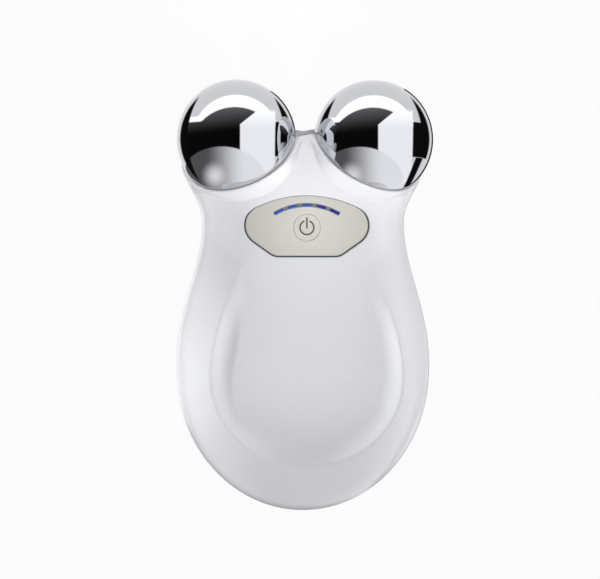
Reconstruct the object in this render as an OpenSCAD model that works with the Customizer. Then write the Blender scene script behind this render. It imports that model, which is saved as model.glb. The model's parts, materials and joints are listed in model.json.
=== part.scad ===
// Facial toning device: a palm-sized casing that holds two ball electrodes.
// It lies on its back: +Z is out of the front face, +Y runs to the balls, X is its width.

/* [Ball electrodes] */
// Diameter of each ball
ball_d = 26; // [25.6:0.1:26.4]
// Gap between the two balls
ball_gap = 4; // [3.6:0.1:4.6]
// Distance of the ball centres from the middle of the casing
ball_y = 34; // [33.6:0.1:34.4]
// Height of the ball centres over the resting plane
ball_z = 19.5; // [19.2:0.1:19.8]
// Depth of the socket's rim below the ball centre, along the socket's axis
rim_depth = 3.3; // [3:0.1:3.6]
// Clearance between a ball and its socket
socket_gap = 0.12; // [0.1:0.01:0.16]

/* [Casing] */
// Distance of the tail's tip from the middle of the casing
tail_y = 47; // [46.5:0.1:47.5]
// Widest width, at the belly
belly_w = 55.4; // [55:0.1:56]
// Width at the neck, under the balls
neck_w = 44.1; // [43.6:0.1:44.6]
// Height of the seam between the front and rear halves
seam_z = 14; // [13.8:0.1:14.2]
// Height of the front of the belly over the seam
belly_front = 13.4; // [13:0.1:13.6]
// Height of the front of the neck over the seam
neck_front = 10.2; // [10:0.1:10.4]
// Wall thickness of both halves
wall = 2; // [1.8:0.1:2.1]

/* [Thumb rest] */
// Half width of the thumb rest at its widest
rest_w = 21.2; // [20.6:0.1:21.6]
// Distance of its widest place below the middle of the casing
rest_y = 18; // [17.5:0.1:18.5]
// Length of its round lower end
rest_l = 19.5; // [19:0.1:20]
// Height of its floor at the panel
deck_z = 24.2; // [24:0.1:24.3]
// How much lower its floor lies at the belly
rest_sink = 1.7; // [1.4:0.1:1.8]

/* [Control panel] */
// Thickness of the panel plate
panel_t = 1.2; // [1:0.1:1.3]
// Width of the seam line round the panel
panel_gap = 0.26; // [0.22:0.02:0.3]
// Diameter of the power button
button_d = 5.6; // [5.2:0.1:5.8]
// Distance of the button from the middle of the casing
button_y = 14.7; // [14.4:0.1:15]
// Travel of the power button
button_travel = 0.3; // [0.25:0.05:0.35]
// Radius of the indicator arc
led_arc_r = 13.8; // [13.5:0.1:14]
// Number of indicator lights
led_count = 5; // [5:1:5]

/* [Hidden] */
$fn = 48;

// Ball electrodes and their sockets
ball_r = ball_d / 2;
ball_x = (ball_d + ball_gap) / 2;
socket_r = ball_r + socket_gap;
socket_rise = 36.2;             // slope of the socket's axis, out of the casing
socket_turn = 60.8;             // its turn from +X
lip = 0.45;                     // shell left outside the ball at the rim
lip_blend = 6;                  // roundness where the rim flares out of the neck
saddle_r = 7.5;                 // notch between the two sockets
saddle_y = 36 + saddle_r;

// Casing outline and profiles
belly_y = -15.5;
neck_y = 15.2;
head_y = 42;                    // where the casing would close behind the balls
head_cut = 41.2;
flare_w = 55.2;
flare_y0 = 16.2;
flare_y1 = 31.7;
belly_rear = 15.2;              // the back would bulge below the plane, so its flat is cut at 0
head_rear = 9.5;
front_p = 2.6;                  // how square the front half's section is at the belly
neck_p = 3.4;                   // and at the neck
rear_p = 3;
cavity_y = 22;                  // end of the cavity under the balls
cavity_cap = 8;                 // where the cavity starts to close towards it

// Rows along Y and columns across, for the two skins
tail_rows = 20;
mid_rows = 24;
head_rows = 10;
skin_cols = 44;
rear_cols = 24;
inner_cols = 16;
tail_y0 = -14;                  // where the tail starts to close
head_y0 = 24;

// Control panel: four arcs round its outline
panel_top = 21.6;
panel_top_r = 24.6;
panel_end_r = 4.3;
panel_end = [9, 15.2];
panel_foot_r = 3;
panel_foot = [6.13, 11.6];
panel_low = -55;                // direction in which an end arc meets the sloping side
panel_seat = deck_z - panel_t;

// Indicator
led_arc_y = 5.8;                // centre of the indicator arc
led_w = 0.9;                    // width of the window
led_half = 31;                  // half angle of the window
led_pitch = 13.1;               // angle between lights
led_len = 8.8;                  // angle of one light

guide_w = 1.5;                  // light guide under the window
guide_z = 19.3;
window_w = 0.6;

// Button and switch
button_gap = 0.1;
flange_r = 3.2;
button_top = deck_z + 0.05;
flange_z = 22.2;
switch_top = 21;
plunger_top = 21.6;
plunger_r = 1.6;
sign_r = 1.67;                  // power symbol
sign_w = 0.33;
sign_t = 0.15;

// Main board
board_z = 16.6;
board_t = 1.6;
board_top = board_z + board_t;
board_w = 24;
board_y = [-14, 12, 20.2];      // its rear edge, where it narrows, and its front edge
board_screw = [[10, -11], [10, 3]];
shell_screw = [[18, -14], [15, 7]];
front_boss_r = 2.6;
rear_boss_r = 2.9;
screw_r = 0.8;
pilot_r = 0.85;
counterbore_r = 2.1;
screw_seat = 6;

// Battery, jack and leads
battery_size = [29, 26, 6];
battery_y = -18;
battery_z = 3.4;
jack_z = 10.2;
jack_y0 = -43.4;
jack_size = [8, 11, 6.4];
jack_bore_r = 1.85;
jack_pin_r = 0.65;
jack_pin_step = 0.25;           // the pin's root is thicker
jack_mouth = -45;
jack_floor = -35.4;             // inner end of the jack's bore
connector_x = -4.5;
connector_y = -10.5;
wire_r = 0.6;
wire_bend = 0.5;                // where a lead's bend starts before its corner
wire_sides = 8;

// Stations along a socket's axis, from the ball's centre into the casing
ball_flat = 12.4;
wall_s = 16.6;
terminal_s = wall_s + 0.5;
pocket_s = 21;
ball_wall = 0.5;
electrode_screw_r = 1.25;

function ease(t) = let (u = min(max(t, 0), 1)) u * u * (3 - 2 * u);
function above(v) = max(v, 0);
function smooth_max(a, b, k) = let (h = above(k - abs(a - b)) / k) max(a, b) + h * h * k / 4;
// A quarter of a superellipse: 1 at u = 0, falling to 0 at u = 1
function fall(u, p, q) = pow(above(1 - pow(min(abs(u), 1), p)), 1 / q);

// Half width of the casing at y, set in by t
function tail_w(y, t) = (belly_w / 2 - t) * fall((belly_y - y) / (tail_y - t + belly_y), 2.05, 2);
function waist_w(y, t) = belly_w / 2 - t
    - (belly_w - neck_w) / 2 * ease(pow((y - belly_y) / (neck_y - belly_y), 1.15));
function flare_x(y, t) = neck_w / 2 - t
    + (flare_w - neck_w) / 2 * ease((y - flare_y0) / (flare_y1 - flare_y0));
function half_w(y, t = 0) = y < belly_y ? tail_w(y, t)
    : (y < neck_y ? waist_w(y, t) : flare_x(y, t)) * (y > 31 ? fall((y - 31) / (head_y - 31), 2.6, 2) : 1);

// Height of the front over the seam, and depth of the rear under it, along the middle
function front_h(y, t = 0) = y < tail_y0
    ? (belly_front - t) * fall((tail_y0 - y) / (tail_y - t + tail_y0), 2.3, 2.3)
    : (belly_front - t - (belly_front - neck_front) * ease((y - tail_y0) / (neck_y - tail_y0)))
        * (y > head_y0 ? fall((y - head_y0) / (head_y - head_y0), 2.2, 2) : 1);
function rear_h(y, t = 0) = y < tail_y0
    ? (belly_rear - t) * fall((tail_y0 - y) / (tail_y - t + tail_y0), 2.5, 2.5)
    : (belly_rear - t - (belly_rear - head_rear) * ease((y - 6) / 28))
        * (y > 30 ? fall((y - 30) / (head_y - 30), 2.5, 2.5) : 1);

// The shell's skin round a ball, carried on as a steep cone outside it
function ball_skin(x, y) = let (r = ball_r + lip, d = norm([abs(x) - ball_x, y - ball_y]))
    ball_z + sqrt(above(r * r - d * d)) - 6 * above(d - r);

// Thumb rest: how far inside its edge a point lies
function rest_round(x, y) = (1 - norm([x / rest_w, (y + rest_y) / rest_l])) * rest_l;
function rest_side(x, y) = rest_w - 5.8 * ease((y + rest_y) / 30) - abs(x);
function rest_top(x, y) = (1 - pow(pow(abs(x) / 15.4, 2.3) + pow((y - 12) / 11.8, 2.3), 1 / 2.3)) * 14.6;
function rest_in(x, y) = y < -rest_y ? rest_round(x, y) : y < 12 ? rest_side(x, y) : rest_top(x, y);
// Its wall: crisp at the edge and hollow below it, wider and steeper at the foot, soft near the panel
function rest_foot(y) = ease((-26 - y) / 8);
function rest_slope(y) = 4.6 + 2.9 * rest_foot(y) - 2.6 * ease((y + 2) / 10);
function rest_wall(s, y) = let (d = sqrt(above(s) * above(s) + 0.09) - 0.3)
    1 - pow(1 - min(d / rest_slope(y), 1), 3 + rest_foot(y));
function rest_share(s, y) = let (crisp = ease((4 - y) / 10))
    (1 - crisp) * ease(s / rest_slope(y)) + crisp * rest_wall(s, y);
function deck(y) = deck_z - rest_sink * ease((8 - y) / 20);

// Panel land: level ground round the control panel
function land(x, y) = ease((1 - norm([x / 19.5, (y - 14.4) / 11.5])) / 0.3) * ease((y - 3) / 6);

// Height of the front skin
function front_square(y) = front_p + (neck_p - front_p) * ease((y + 5) / 18);
function front_main(x, y, t) = let (p = front_square(y))
    seam_z + front_h(y, t) * fall(x / max(half_w(y, t), 0.01), p, p);
function front_flare(x, y, t) = smooth_max(front_main(x, y, t), ball_skin(x, y) - t, lip_blend);
function front_rest(x, y, z, t) = z
    - above(z - deck(y) + t) * rest_share(rest_in(x, y), y);
function front_land(x, y, z, t) = z + above(deck_z - t - z) * land(x, y);
function front_z(x, y, t = 0) = let (z = front_flare(x, y, t))
    front_land(x, y, front_rest(x, y, z, t), t);

// Height of the rear skin
function rear_z(x, y, t = 0) = max(t,
    seam_z - rear_h(y, t) * fall(x / max(half_w(y, t), 0.01), rear_p, rear_p));

rows = concat(
    [for (i = [0 : tail_rows]) tail_y0 - (tail_y + tail_y0) * cos(90 * i / tail_rows) + (i == 0 ? 0.02 : 0)],
    [for (i = [1 : mid_rows]) tail_y0 + (head_y0 - tail_y0) * i / mid_rows],
    [for (i = [1 : head_rows]) head_y0 + (head_cut - head_y0) * i / head_rows]);
last_row = len(rows) - 1;

// The same rows for the inner skin, drawn in to the cavity's two ends
function inner_row(y) = y < tail_y0 ? tail_y0 + (y - tail_y0) * (tail_y - wall + tail_y0) / (tail_y + tail_y0)
    : y < cavity_cap ? y : cavity_cap + (y - cavity_cap) * (cavity_y - 0.02 - cavity_cap) / (head_cut - cavity_cap);
function cavity_fall(y) = y > cavity_cap ? fall((y - cavity_cap) / (cavity_y - cavity_cap), 3, 2) : 1;

function across(w, j, n, p) = let (c = cos(180 * j / n)) w * sign(c) * pow(abs(c), 2 / p);
function outer_point(y, j, n, front) = let (w = half_w(y), edge = j == 0 || j == n,
    x = edge ? w * (j == 0 ? 1 : -1) : across(w, j, n, front ? front_p : rear_p))
    [x, y, edge ? seam_z : front ? front_z(x, y) : rear_z(x, y)];
function inner_point(y, j, n, front) = let (k = cavity_fall(y), w = half_w(y, wall) * k, edge = j == 0 || j == n,
    x = edge ? w * (j == 0 ? 1 : -1) : across(w, j, n, front ? front_p : rear_p),
    z = front ? front_z(x / k, y, wall) : rear_z(x / k, y, wall))
    [x, y, edge ? seam_z : front ? seam_z + (z - seam_z) * k : seam_z + (z - seam_z) * k];

// Two triangles of a grid cell, split the same way on both sides of the middle
function cell(a, b, c, d, left) = left ? [[a, b, c], [a, c, d]] : [[a, b, d], [b, c, d]];
function grid(first, n, flip) = [for (i = [0 : last_row - 1], j = [0 : n - 1])
    let (a = first + i * (n + 1) + j, b = a + 1, c = b + n + 1, d = a + n + 1)
    each (flip ? cell(d, c, b, a, j < n / 2) : cell(a, b, c, d, j < n / 2))];
function cap(first, n, row, flip) = let (f = [for (j = [0 : n]) first + row * (n + 1) + j])
    flip ? [for (j = [n : -1 : 0]) f[j]] : f;

// One half of the casing: outer skin, inner skin and the flat rim between them at the seam
module half_casing(n, front) {
    m = inner_cols;
    first = (last_row + 1) * (n + 1);
    points = concat([for (y = rows, j = [0 : n]) outer_point(y, j, n, front)],
        [for (y = rows, j = [0 : m]) inner_point(inner_row(y), j, m, front)]);
    rim = [for (i = [0 : last_row - 1])
        let (a = i * (n + 1), b = a + n + 1, c = first + i * (m + 1), d = c + m + 1)
        each (front ? [[a, b, d], [a, d, c], [a + n, d + m, b + n], [a + n, c + m, d + m]]
            : [[a, d, b], [a, c, d], [a + n, b + n, d + m], [a + n, d + m, c + m]])];
    e = last_row * (n + 1);
    f = first + last_row * (m + 1);
    ends = front ? [[0, first, first + m, n], [e, e + n, f + m, f]]
        : [[0, n, first + m, first], [e, f, f + m, e + n]];
    polyhedron(points, concat(grid(0, n, !front), grid(first, m, front), rim, ends,
        [cap(0, n, 0, front), cap(0, n, last_row, !front),
        cap(first, m, 0, !front), cap(first, m, last_row, front)]));
}

// The frame of the right socket: +Z out of it, the ball's centre at its origin
module at_right() {
    translate([ball_x, ball_y, ball_z]) rotate([0, 90 - socket_rise, socket_turn]) children();
}
module at_left() {
    mirror([1, 0, 0]) at_right() children();
}
module at_both() {
    at_right() children();
    at_left() children();
}
// A place and its mirror image
module both_sides(p) {
    for (side = [-1, 1]) translate([side * p[0], p[1], 0]) children();
}
module along(s0, s1, r) {
    translate([0, 0, -s1]) cylinder(h = s1 - s0, r = r);
}
module along_y(y0, y1, r) {
    translate([0, y0, jack_z]) rotate([-90, 0, 0]) cylinder(h = y1 - y0, r = r);
}

module socket_cut() {
    at_both() {
        hull() intersection() {
            sphere(r = socket_r, $fn = 40);
            translate([-20, -20, -20]) cube([40, 40, 22 - rim_depth]);
        }
        translate([-50, -50, -rim_depth]) cube([100, 100, 60]);
    }
    translate([0, saddle_y, -1]) cylinder(h = 40, r = saddle_r);
}

function arc(c, r, a0, a1, n) = [for (i = [0 : n]) c + r * [cos(a0 + (a1 - a0) * i / n), sin(a0 + (a1 - a0) * i / n)]];
function flip_x(pts) = [for (i = [len(pts) - 1 : -1 : 0]) [-pts[i][0], pts[i][1]]];

// Outline of the control panel, let out by g
function panel_side(g) = let (top = atan2(panel_end[1] - panel_top + panel_top_r, panel_end[0])) concat(
    arc(panel_foot, panel_foot_r + g, -90, panel_low, 4),
    arc(panel_end, panel_end_r + g, panel_low, top, 14),
    arc([0, panel_top - panel_top_r], panel_top_r + g, top + 3, 90, 6));
module panel_outline(g = 0) {
    polygon(concat(panel_side(g), flip_x(panel_side(g))));
}
module arc_bar(w, half, z0, z1) {
    c = [0, led_arc_y];
    translate([0, 0, z0]) linear_extrude(z1 - z0)
        polygon(concat(arc(c, led_arc_r + w / 2, 90 - half, 90 + half, 12),
            arc(c, led_arc_r - w / 2, 90 + half, 90 - half, 12)));
}
module at_led(i) {
    a = (i - (led_count - 1) / 2) * led_pitch;
    translate([0, led_arc_y, 0]) rotate([0, 0, -a]) translate([0, -led_arc_y, 0]) children();
}
module at_button(z) {
    translate([0, button_y, z]) children();
}

// A box with round upright edges, its base centred at z
module slab(size, r, z) {
    w = size[0] / 2 - r;
    l = size[1] / 2 - r;
    translate([0, 0, z]) linear_extrude(size[2])
        polygon(concat(arc([w, -l], r, -90, 0, 4), arc([w, l], r, 0, 90, 4),
            arc([-w, l], r, 90, 180, 4), arc([-w, -l], r, 180, 270, 4)));
}
// A wire's route in the plane x, its corners at pts rounded
function unit(v) = v / norm(v);
function bend(a, b, c) = let (p = b + unit(a - b) * wire_bend, q = b + unit(c - b) * wire_bend)
    [for (t = [0 : 0.25 : 1]) (1 - t) * (1 - t) * p + 2 * t * (1 - t) * b + t * t * q];
function route(pts) = concat([pts[0]],
    [for (i = [1 : len(pts) - 2]) each bend(pts[i - 1], pts[i], pts[i + 1])], [pts[len(pts) - 1]]);
// A round wire swept along a route of [y, z] points
module wire(x, pts, r = wire_r) {
    line = route(pts);
    n = len(line) - 1;
    m = wire_sides;
    rings = [for (i = [0 : n])
        let (d = unit(line[min(i + 1, n)] - line[max(i - 1, 0)])) each
        [for (j = [0 : m - 1]) let (c = r * cos(360 * j / m), s = r * sin(360 * j / m))
            [x + c, line[i][0] - s * d[1], line[i][1] + s * d[0]]]];
    sides = [for (i = [0 : n - 1], j = [0 : m - 1])
        let (a = i * m + j, b = i * m + (j + 1) % m) each [[a, a + m, b + m], [a, b + m, b]]];
    polyhedron(rings, concat(sides, [[for (j = [0 : m - 1]) j], [for (j = [m - 1 : -1 : 0]) n * m + j]]));
}

module front_shell() color("gainsboro") {
    difference() {
        union() {
            half_casing(skin_cols, true);
            for (p = shell_screw) both_sides(p) translate([0, 0, seam_z]) cylinder(h = 8, r = front_boss_r);
            for (p = board_screw) both_sides(p) translate([0, 0, board_top]) cylinder(h = 3.6, r = 2.2);
        }
        socket_cut();
        translate([0, 0, panel_seat]) linear_extrude(10) panel_outline(panel_gap);
        at_button(18.5) cylinder(h = 6, r = flange_r + 0.2);
        at_button(18.5) translate([-3.3, -3.3, 0]) cube([6.6, 6.6, 3]);
        arc_bar(guide_w + 0.1, led_half + 3, 18.5, 25);
        for (p = shell_screw) both_sides(p) translate([0, 0, seam_z - 1]) cylinder(h = 6.5, r = pilot_r);
        for (p = board_screw) both_sides(p) translate([0, 0, board_top - 1]) cylinder(h = 4.2, r = pilot_r);
    }
}

module rear_shell() color("gainsboro") {
    difference() {
        union() {
            half_casing(rear_cols, false);
            for (p = shell_screw) both_sides(p) translate([0, 0, 1.9])
                cylinder(h = seam_z - 1.9, r = rear_boss_r);
        }
        socket_cut();
        at_both() {
            along(12, wall_s + 1, 1.6);
            along(wall_s, pocket_s, 5.2);
        }
        for (p = shell_screw) both_sides(p) {
            translate([0, 0, -1]) cylinder(h = screw_seat + 1, r = counterbore_r);
            cylinder(h = 15, r = 1.1);
        }
        translate([-jack_size[0] / 2 - 0.2, jack_y0 - 0.2, jack_z - jack_size[2] / 2 - 0.2])
            cube([jack_size[0] + 0.4, jack_size[1] + 0.4, 10]);
        translate([0, -50, jack_z]) rotate([-90, 0, 0]) cylinder(h = 10, r = 2.95);
    }
}

module control_panel() color("silver") {
    difference() {
        translate([0, 0, panel_seat + 0.02]) linear_extrude(panel_t - 0.02) panel_outline();
        at_button(panel_seat - 1) cylinder(h = 4, r = button_d / 2 + button_gap);
        arc_bar(led_w, led_half, panel_seat - 1, deck_z + 1);
    }
}

module panel_gasket() color("darkslategray") {
    translate([0, 0, panel_seat + 0.05]) linear_extrude(panel_t - 0.2) difference() {
        panel_outline(panel_gap - 0.02);
        panel_outline(0.01);
    }
}

// Power symbol: an open ring and a bar, let out by g
module power_sign(g) {
    difference() {
        circle(r = sign_r + g);
        circle(r = sign_r - sign_w - g);
        translate([-sign_w * 1.7 + g, 0]) square([sign_w * 3.4 - 2 * g, sign_r * 2]);
    }
    translate([-sign_w / 2 - g, -0.2 - g]) square([sign_w + 2 * g, 2.4 + 2 * g]);
}

module power_button() color("lightgray") {
    difference() {
        union() {
            at_button(flange_z) cylinder(h = button_top - flange_z, r = button_d / 2);
            at_button(flange_z) cylinder(h = 0.7, r = flange_r);
            at_button(plunger_top) cylinder(h = flange_z - plunger_top, r = 1.5);
        }
        at_button(button_top - sign_t) linear_extrude(1) power_sign(0.01);
    }
}

module power_symbol() color("dimgray") {
    at_button(button_top - sign_t) linear_extrude(sign_t) power_sign(0);
}

module indicator_bezel() color("darkolivegreen") {
    difference() {
        arc_bar(led_w - 0.04, led_half - 0.1, panel_seat + 0.02, deck_z - 0.25);
        for (i = [0 : led_count - 1]) at_led(i) arc_bar(window_w + 0.04, led_len / 2 + 0.1, 20, 25);
    }
}

module indicator_lenses() color("royalblue", 0.8) {
    arc_bar(guide_w, led_half + 2, guide_z, panel_seat - 0.02);
    for (i = [0 : led_count - 1]) at_led(i) arc_bar(window_w, led_len / 2, guide_z + 1, deck_z - 0.12);
}

module indicator_leds() color("white") {
    for (i = [0 : led_count - 1]) at_led(i) translate([-0.8, led_arc_y + led_arc_r - 0.4, board_top])
        cube([1.6, 0.8, 0.7]);
}

module main_board() color("seagreen") {
    w = board_w / 2;
    difference() {
        translate([0, 0, board_z]) linear_extrude(board_t)
            polygon([[-w, board_y[0]], [w, board_y[0]], [w, board_y[1]], [w / 2, board_y[2]],
                [-w / 2, board_y[2]], [-w, board_y[1]]]);
        for (p = board_screw) both_sides(p) translate([0, 0, board_z - 1]) cylinder(h = 4, r = 0.95);
    }
}

module tact_switch() color("dimgray") {
    difference() {
        at_button(board_top) translate([-3, -3, 0]) cube([6, 6, switch_top - board_top]);
        at_button(switch_top - 1.6) cylinder(h = 3, r = plunger_r + 0.1);
    }
}

module switch_plunger() color("black") {
    at_button(switch_top - 0.8) cylinder(h = plunger_top - switch_top + 0.8, r = plunger_r);
}

module board_chips() color("black") {
    translate([0, -3, 0]) slab([5, 5, 1], 0.3, board_top);
    translate([-6, 6, 0]) slab([4, 4, 1], 0.3, board_top);
    translate([5, -9.5, 0]) slab([3, 3, 0.9], 0.2, board_top);
    for (x = [3.5, 5.5, 7.5]) translate([x, 5.5, 0]) slab([1.2, 2, 0.9], 0.1, board_top);
}

module pulse_transformer() color("darkgoldenrod") {
    translate([4.5, 7.5, 0]) slab([7, 7, 4.4], 0.6, board_z - 4.4);
}

module buzzer() color("black") {
    translate([-5.5, 7.5, board_z - 2.6]) cylinder(h = 2.6, r = 4.2);
}

module board_screws() color("silver") {
    for (p = board_screw) both_sides(p) {
        translate([0, 0, board_z - 1.2]) cylinder(h = 1.2, r = 1.7);
        translate([0, 0, board_z]) cylinder(h = board_t + 2.8, r = screw_r);
    }
}

module battery() color("silver") {
    translate([0, battery_y, 0]) slab(battery_size, 2, battery_z);
}

module battery_pad() color("black") {
    translate([0, battery_y, 0]) slab([18, 18, battery_z - wall - 0.1], 1, wall + 0.05);
}

module battery_lead(x) {
    wire(x, [[battery_y + battery_size[1] / 2 + 0.05, 7.4], [-3.5, 7.4], [-2.4, 8.6],
        [-2.4, 14], [-3.6, 15.1], [connector_y + 2.3, 15.1]]);
}
module battery_lead_red() color("red") {
    battery_lead(connector_x + 1);
}
module battery_lead_black() color("black") {
    battery_lead(connector_x - 1);
}

module battery_connector() color("white") {
    translate([connector_x, connector_y, 0]) slab([6, 4.5, 3], 0.3, board_z - 3);
}

module charge_jack() color("black") {
    difference() {
        union() {
            translate([-jack_size[0] / 2, jack_y0, jack_z - jack_size[2] / 2]) cube(jack_size);
            along_y(jack_mouth, jack_y0 + 1, 2.8);
        }
        along_y(jack_mouth - 1, jack_floor, jack_bore_r);
        along_y(jack_floor - 1, jack_floor + 2, jack_pin_r + jack_pin_step);
    }
}

module charge_jack_pin() color("silver") {
    along_y(jack_mouth + 0.6, jack_floor, jack_pin_r);
    along_y(jack_floor, jack_floor + 2, jack_pin_r + jack_pin_step - 0.01);
}

module charge_lead(x) {
    wire(x, [[jack_y0 + jack_size[1] + 0.05, 12], [-30.5, 12], [-27, 12.8], [-15, 12.8],
        [-12.5, 14.2], [-12.5, board_z - 0.05]]);
}
module charge_lead_red() color("red") {
    charge_lead(1.4);
}
module charge_lead_black() color("black") {
    charge_lead(3.2);
}

// A hollow ball with a flat and a threaded boss where it is screwed down
module electrode_ball() {
    difference() {
        union() {
            difference() {
                sphere(r = ball_r);
                sphere(r = ball_r - ball_wall);
            }
            along(8.5, ball_flat, 3.85);
        }
        along(ball_flat, ball_r + 1, 6);
        along(9, ball_flat + 1, electrode_screw_r + 0.05);
    }
}
module left_electrode_ball() color("silver") {
    at_left() electrode_ball();
}
module right_electrode_ball() color("silver") {
    at_right() electrode_ball();
}

module ring(s0, s1, inner, outer) {
    difference() {
        along(s0, s1, outer);
        along(s0 - 1, s1 + 1, inner);
    }
}
module electrode_seals() color("black") {
    at_both() ring(ball_flat + 0.02, ball_flat + 0.46, 1.65, 2.4);
}

module ring_terminals() color("gold") {
    at_both() {
        ring(wall_s + 0.02, terminal_s, 1.4, 3);
        translate([-4.6, -0.9, -terminal_s]) cube([2, 1.8, terminal_s - wall_s - 0.02]);
    }
}

module electrode_screws() color("silver") {
    at_both() {
        along(9.3, terminal_s + 0.02, electrode_screw_r);
        along(terminal_s + 0.02, terminal_s + 1.7, 2.4);
    }
}

module electrode_lead() {
    wire(6.95, [[19.4, 13.35], [18.2, 14.4], [15.5, 14.9], [15.5, board_z - 0.05]], 0.5);
}
module left_electrode_lead() color("red") {
    mirror([1, 0, 0]) electrode_lead();
}
module right_electrode_lead() color("blue") {
    electrode_lead();
}

module shell_screws() color("silver") {
    for (p = shell_screw) both_sides(p) {
        translate([0, 0, screw_seat - 1.6]) cylinder(h = 1.6, r = 1.9);
        translate([0, 0, screw_seat - 0.8]) cylinder(h = seam_z + 6 - screw_seat, r = screw_r);
    }
}

module screw_plugs() color("gainsboro") {
    for (p = shell_screw) both_sides(p) translate([0, 0, 0.7]) cylinder(h = 2, r = counterbore_r - 0.03);
}

front_shell();
rear_shell();
control_panel();
panel_gasket();
power_button();
power_symbol();
indicator_bezel();
indicator_lenses();
indicator_leds();
main_board();
tact_switch();
switch_plunger();
board_chips();
pulse_transformer();
buzzer();
board_screws();
battery();
battery_pad();
battery_lead_red();
battery_lead_black();
battery_connector();
charge_jack();
charge_jack_pin();
charge_lead_red();
charge_lead_black();
left_electrode_ball();
right_electrode_ball();
electrode_seals();
ring_terminals();
electrode_screws();
left_electrode_lead();
right_electrode_lead();
shell_screws();
screw_plugs();
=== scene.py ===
"""Facial toning device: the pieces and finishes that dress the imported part."""
import json
import math

import bmesh
import bpy
from mathutils import Matrix, Vector

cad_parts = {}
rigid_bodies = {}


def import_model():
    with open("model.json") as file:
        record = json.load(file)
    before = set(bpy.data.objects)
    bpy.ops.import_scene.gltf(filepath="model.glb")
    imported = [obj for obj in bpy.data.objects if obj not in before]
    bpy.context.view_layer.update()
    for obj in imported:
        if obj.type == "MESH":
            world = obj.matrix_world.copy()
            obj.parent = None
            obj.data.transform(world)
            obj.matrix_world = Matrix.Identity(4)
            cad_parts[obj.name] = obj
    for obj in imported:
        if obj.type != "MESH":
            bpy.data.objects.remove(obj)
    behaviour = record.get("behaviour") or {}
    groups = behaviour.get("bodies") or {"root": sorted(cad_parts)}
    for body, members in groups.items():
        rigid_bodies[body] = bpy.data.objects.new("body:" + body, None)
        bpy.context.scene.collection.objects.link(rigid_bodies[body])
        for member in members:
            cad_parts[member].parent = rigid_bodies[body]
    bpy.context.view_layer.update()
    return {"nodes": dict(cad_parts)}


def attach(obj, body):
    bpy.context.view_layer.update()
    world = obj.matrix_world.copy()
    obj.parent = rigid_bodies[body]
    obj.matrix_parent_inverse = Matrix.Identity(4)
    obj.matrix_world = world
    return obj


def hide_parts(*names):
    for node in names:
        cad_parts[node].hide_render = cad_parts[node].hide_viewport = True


bl_info = {
    "name": "Facial Toning Device",
    "version": (1, 0, 0),
    "blender": (4, 5, 0),
    "location": "3D View > Sidebar > Toning Device",
    "description": "Builds the casing, panel, ball electrodes and studio of a facial toning device",
    "category": "Add Mesh",
}

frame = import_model()

MM = 0.001

# ---- casing shape, in millimetres
BALL_R, BALL_FLAT = 13.0, 12.4
BALL = Vector((15.0, 34.0, 19.5))
SOCKET_R = 13.04
RIM_DEPTH = 3.3
SOCKET_RISE = math.radians(36.2)
SOCKET_TURN = math.radians(60.8)
SOCKET_AXIS = Vector((math.cos(SOCKET_RISE) * math.cos(SOCKET_TURN),
                      math.cos(SOCKET_RISE) * math.sin(SOCKET_TURN), math.sin(SOCKET_RISE)))
RIM_CENTRE = BALL - SOCKET_AXIS * RIM_DEPTH
RIM_R = math.sqrt(SOCKET_R ** 2 - RIM_DEPTH ** 2)
LIP, LIP_BLEND = 0.45, 6.0
NOTCH_R, NOTCH_Y = 7.5, 43.5
TAIL_Y, BELLY_W, NECK_W, SEAM_Z = 47.0, 55.4, 44.1, 14.0
BELLY_FRONT, NECK_FRONT, WALL = 13.4, 10.2, 2.0
REST_W, REST_Y, REST_L, DECK_Z, REST_SINK = 21.2, 18.0, 19.5, 24.2, 1.7
BELLY_Y, NECK_Y, HEAD_Y, HEAD_CUT = -15.5, 15.2, 42.0, 41.2
FLARE_W, FLARE_Y0, FLARE_Y1 = 55.2, 16.2, 31.7
BELLY_REAR, HEAD_REAR = 15.2, 9.5
FRONT_P, NECK_P, REAR_P = 2.6, 3.4, 3.0
CAVITY_Y, CAVITY_CAP = 22.0, 8.0
TAIL_Y0, HEAD_Y0 = -14.0, 24.0
GROOVE, GROOVE_FADE = 0.14, 0.8
HEAD_ROWS_FROM = 17.0
TOP_ROLL = 1.2
NOTCH_SPREAD, NOTCH_SIDE = 1.6, 3.24
CORNER_REACH, SEAM_REACH, SEAM_SWEEP = 0.35, 2.0, math.radians(158)
CAVITY_GAP = 0.02
LEAST_W = 0.01

# powers of the curves that close the outline, the front and the rear at the tail and at the head
OUTLINE_TAIL, OUTLINE_HEAD = (2.05, 2), (2.6, 2)
FRONT_TAIL, FRONT_HEAD = (2.3, 2.3), (2.2, 2)
REAR_TAIL, REAR_HEAD = (2.5, 2.5), (2.5, 2.5)
CAVITY_HEAD = (3, 2)
WAIST_P = 1.15
OUTLINE_HEAD_Y, REAR_HEAD_Y = 31, 30

# smooth changes along Y: where each starts, and how long it runs
REAR_RISE_Y, REAR_RISE_L = 6, 28
SQUARE_Y, SQUARE_L = -5, 18
FOOT_Y, FOOT_L = -26, 8
SOFT_Y, SOFT_L = -2, 10
CRISP_Y, CRISP_L = 4, 10
DECK_Y, DECK_L = 8, 20
LAND_START, LAND_RUN = 3, 6

# the thumb rest's edge near the panel, and its wall
REST_HEAD_Y, REST_HEAD_W, REST_HEAD_L, REST_HEAD_IN, REST_HEAD_P = 12, 15.4, 11.8, 14.6, 2.3
REST_TAPER, REST_EDGE, REST_CRISP = 5.8, 0.3, 3
SLOPE, FOOT_SLOPE, SOFT_SLOPE = 4.6, 2.9, 2.6

# the level ground round the control panel, and how steeply the skin falls off past a ball
LAND_W, LAND_Y, LAND_L, LAND_EDGE = 19.5, 14.4, 11.5, 0.3
BALL_FALL = 6


def clamp01(v):
    return min(max(v, 0.0), 1.0)


def ease(t):
    u = clamp01(t)
    return u * u * (3 - 2 * u)


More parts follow.
